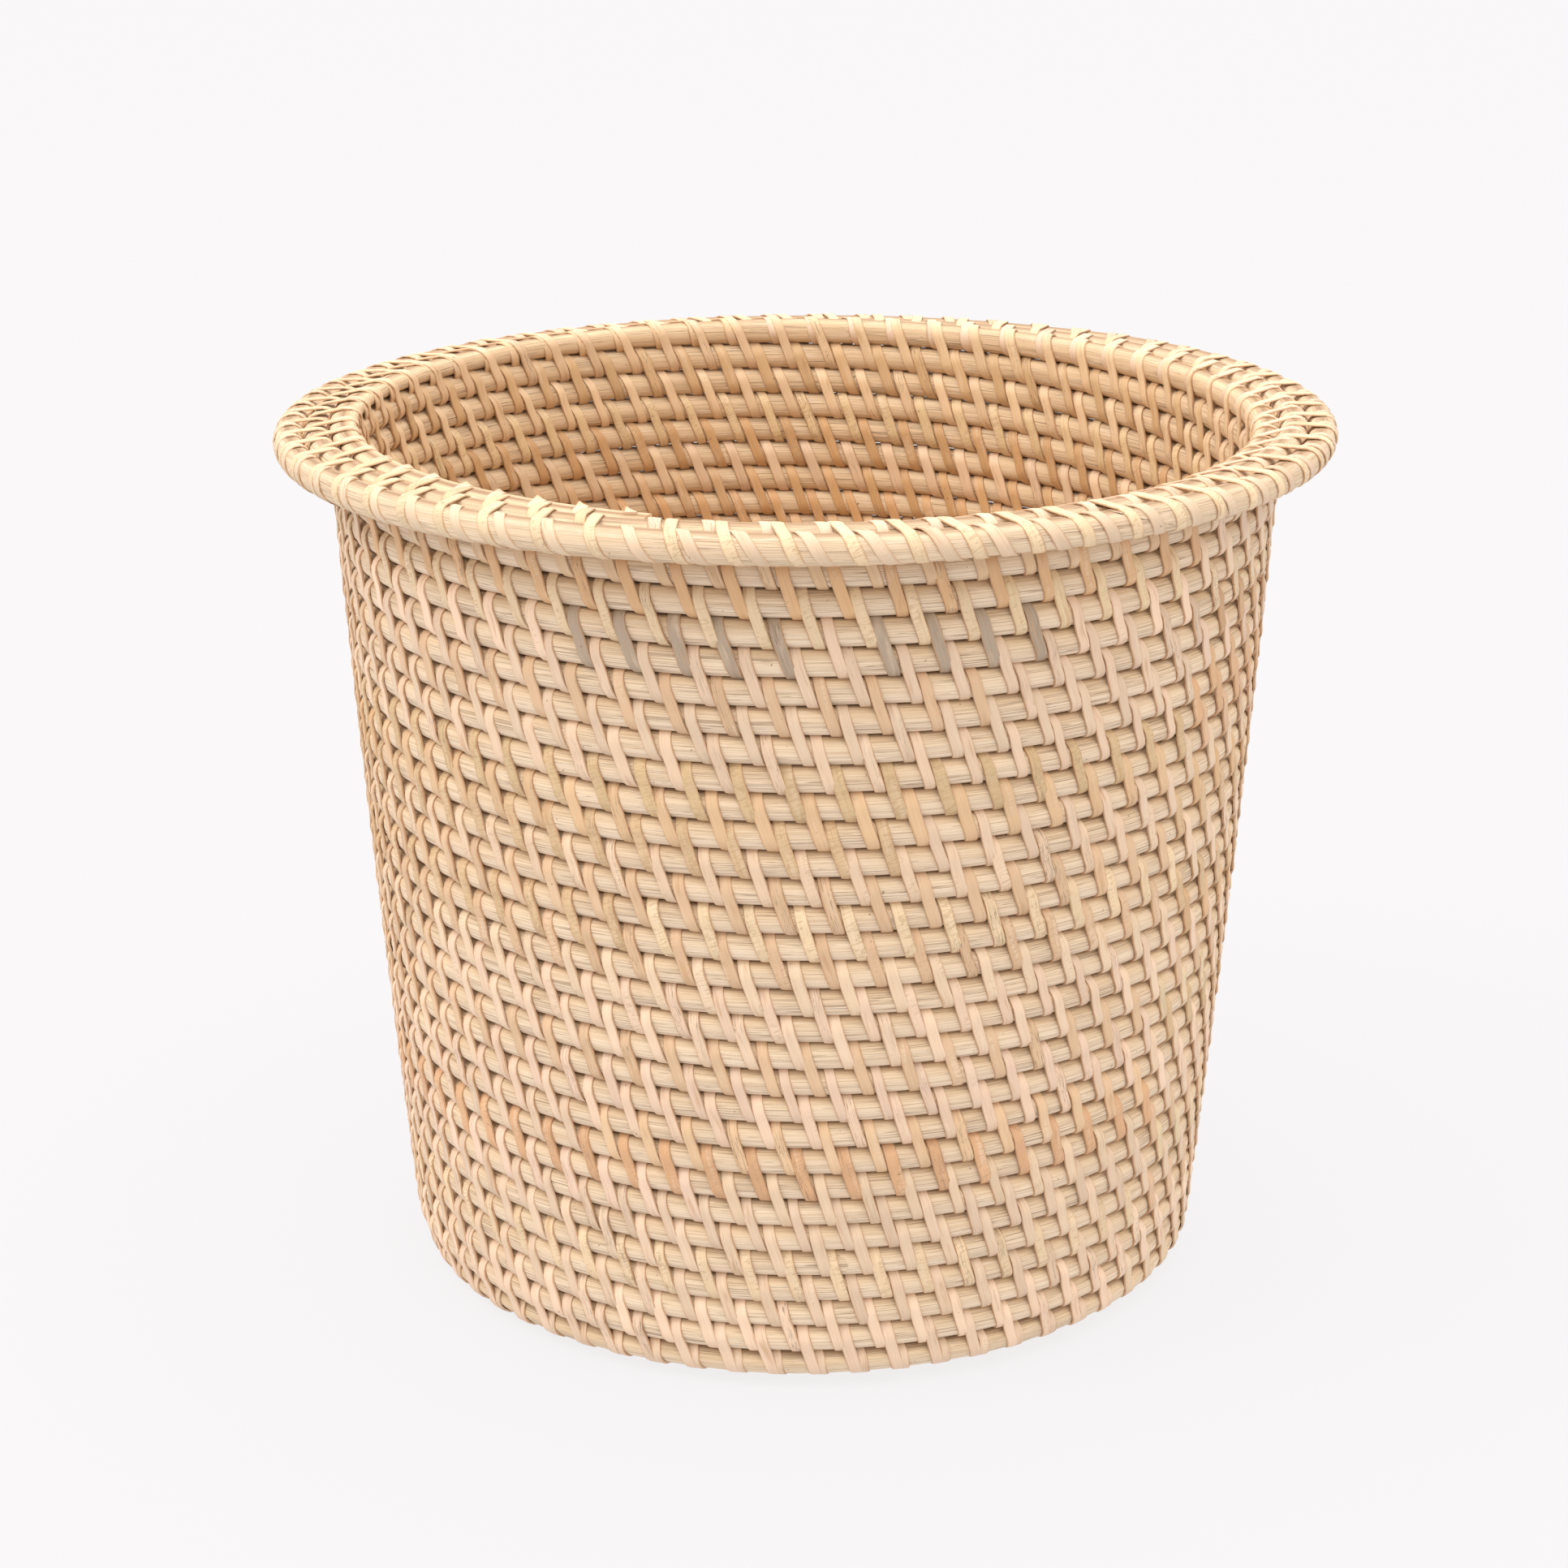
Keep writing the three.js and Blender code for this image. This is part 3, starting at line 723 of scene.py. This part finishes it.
def build_rim_strips():
    count = int(STITCHES_PER_TURN)
    pair = dict(WALL_SHAPE, jitter=0.05, newer_share=full_height, loose=0.0001, sag=0.0, rise=0.0,
                thickness=0.75, lean=INNER_LEAN)
    # The outer rim's strips get no painted interreflection.
    outer = dict(pair, older_reach=OUTER_CANE, width=1.05, lean=OUTER_LEAN, inside_interreflection_tint=0.0)
    edge = dict(outer, newer_reach=OUTER_CANE, lean=EDGE_LEAN)
    add_strip("rim_binder_inner", rim_place(INNER_LOOPS), middle_axis, top_axis, 0, count, pair, 300)
    add_strip("rim_binder_outer", rim_place(OUTER_LOOPS), outer_axis, middle_axis, 0, count, outer, 301,
              only=OUTER_PEEL)
    add_strip("rim_binder_edge", rim_place(EDGE_LOOPS), outer_axis, edge_axis, 0, count, edge, 302,
              only=EDGE_PEEL)


build_canes()
build_coil_strips()
build_rim_strips()

# ---------------------------------------------------------------- stage, light and camera

FLOOR_SIZE = 60.0
FLOOR_COLOUR = (0.072, 0.074, 0.078)
FLOOR_GRAIN = 0.985  # how dark the floor's darkest places are
FLOOR_GLOW = (0.825, 0.808, 0.815)
SKY_LEVEL = 0.88  # at the horizon
SKY_OVERHEAD = 1.75  # added straight above
SKY_COLOUR = (1.0, 0.97, 0.94)
KEY_PLACE = (-1.3, -0.5, 1.7)
KEY_AIM = (0, 0, 0.12)
KEY_SIZE = 1.0
KEY_POWER = 9
KEY_COLOUR = (1.0, 0.98, 0.94)
CAMERA_DISTANCE = 0.9789
CAMERA_HEIGHT = 0.4603
CAMERA_PITCH = 0.317  # radians below level
CAMERA_SIDE = -0.0060
CAMERA_LENS = 79.27  # mm
CAMERA_SENSOR = 36  # mm


def make_floor_material():
    """Bright paper, lit from below as well, so that the basket's shadow on it stays faint."""
    n = Nodes("floor_paper")
    grain = n.add("ShaderNodeTexNoise", {"Scale": 3.0, "Detail": 2.0}).outputs[0]
    darker = colour(*(value * FLOOR_GRAIN for value in FLOOR_COLOUR))
    n.link(n.mix(grain, colour(*FLOOR_COLOUR), darker), n.shader.inputs["Base Color"])
    n.shader.inputs["Roughness"].default_value = 0.9
    n.shader.inputs["Specular IOR Level"].default_value = 0.0
    n.shader.inputs["Emission Color"].default_value = colour(*FLOOR_GLOW)
    n.shader.inputs["Emission Strength"].default_value = 1.0
    return n.material


def build_stage():
    bpy.ops.mesh.primitive_plane_add(size=FLOOR_SIZE)
    floor = bpy.context.object
    floor.name = "floor"
    floor.data.materials.append(make_floor_material())


def add_key_light():
    data = bpy.data.lights.new("key", "AREA")
    data.shape = "DISK"
    data.size = KEY_SIZE
    data.energy = KEY_POWER
    data.color = KEY_COLOUR
    light = bpy.data.objects.new("key", data)
    bpy.context.scene.collection.objects.link(light)
    light.location = KEY_PLACE
    light.rotation_euler = (Vector(KEY_AIM) - Vector(KEY_PLACE)).to_track_quat("-Z", "Y").to_euler()


def make_sky():
    """A white tent: brightest overhead, dimmer near the floor."""
    world = bpy.data.worlds.new("studio")
    world.use_nodes = True
    nodes, links = world.node_tree.nodes, world.node_tree.links
    direction = nodes.new("ShaderNodeTexCoord")
    parts = nodes.new("ShaderNodeSeparateXYZ")
    links.new(direction.outputs["Generated"], parts.inputs[0])
    overhead = nodes.new("ShaderNodeMath")
    overhead.operation = "POWER"
    links.new(parts.outputs[2], overhead.inputs[0])
    overhead.inputs[1].default_value = 2.0
    strength = nodes.new("ShaderNodeMath")
    strength.operation = "MULTIPLY_ADD"
    links.new(overhead.outputs[0], strength.inputs[0])
    strength.inputs[1].default_value = SKY_OVERHEAD
    strength.inputs[2].default_value = SKY_LEVEL
    background = nodes["Background"]
    background.inputs[0].default_value = colour(*SKY_COLOUR)
    links.new(strength.outputs[0], background.inputs[1])
    return world


def build_light():
    bpy.context.scene.world = make_sky()
    add_key_light()


def build_camera():
    data = bpy.data.cameras.new("camera")
    data.lens = CAMERA_LENS
    data.sensor_width = CAMERA_SENSOR
    camera = bpy.data.objects.new("camera", data)
    bpy.context.scene.collection.objects.link(camera)
    camera.location = (CAMERA_SIDE, -CAMERA_DISTANCE, CAMERA_HEIGHT)
    camera.rotation_euler = (math.pi / 2 - CAMERA_PITCH, 0, 0)
    bpy.context.scene.camera = camera
    bpy.context.scene.view_settings.view_transform = "Standard"


build_stage()
build_light()
build_camera()
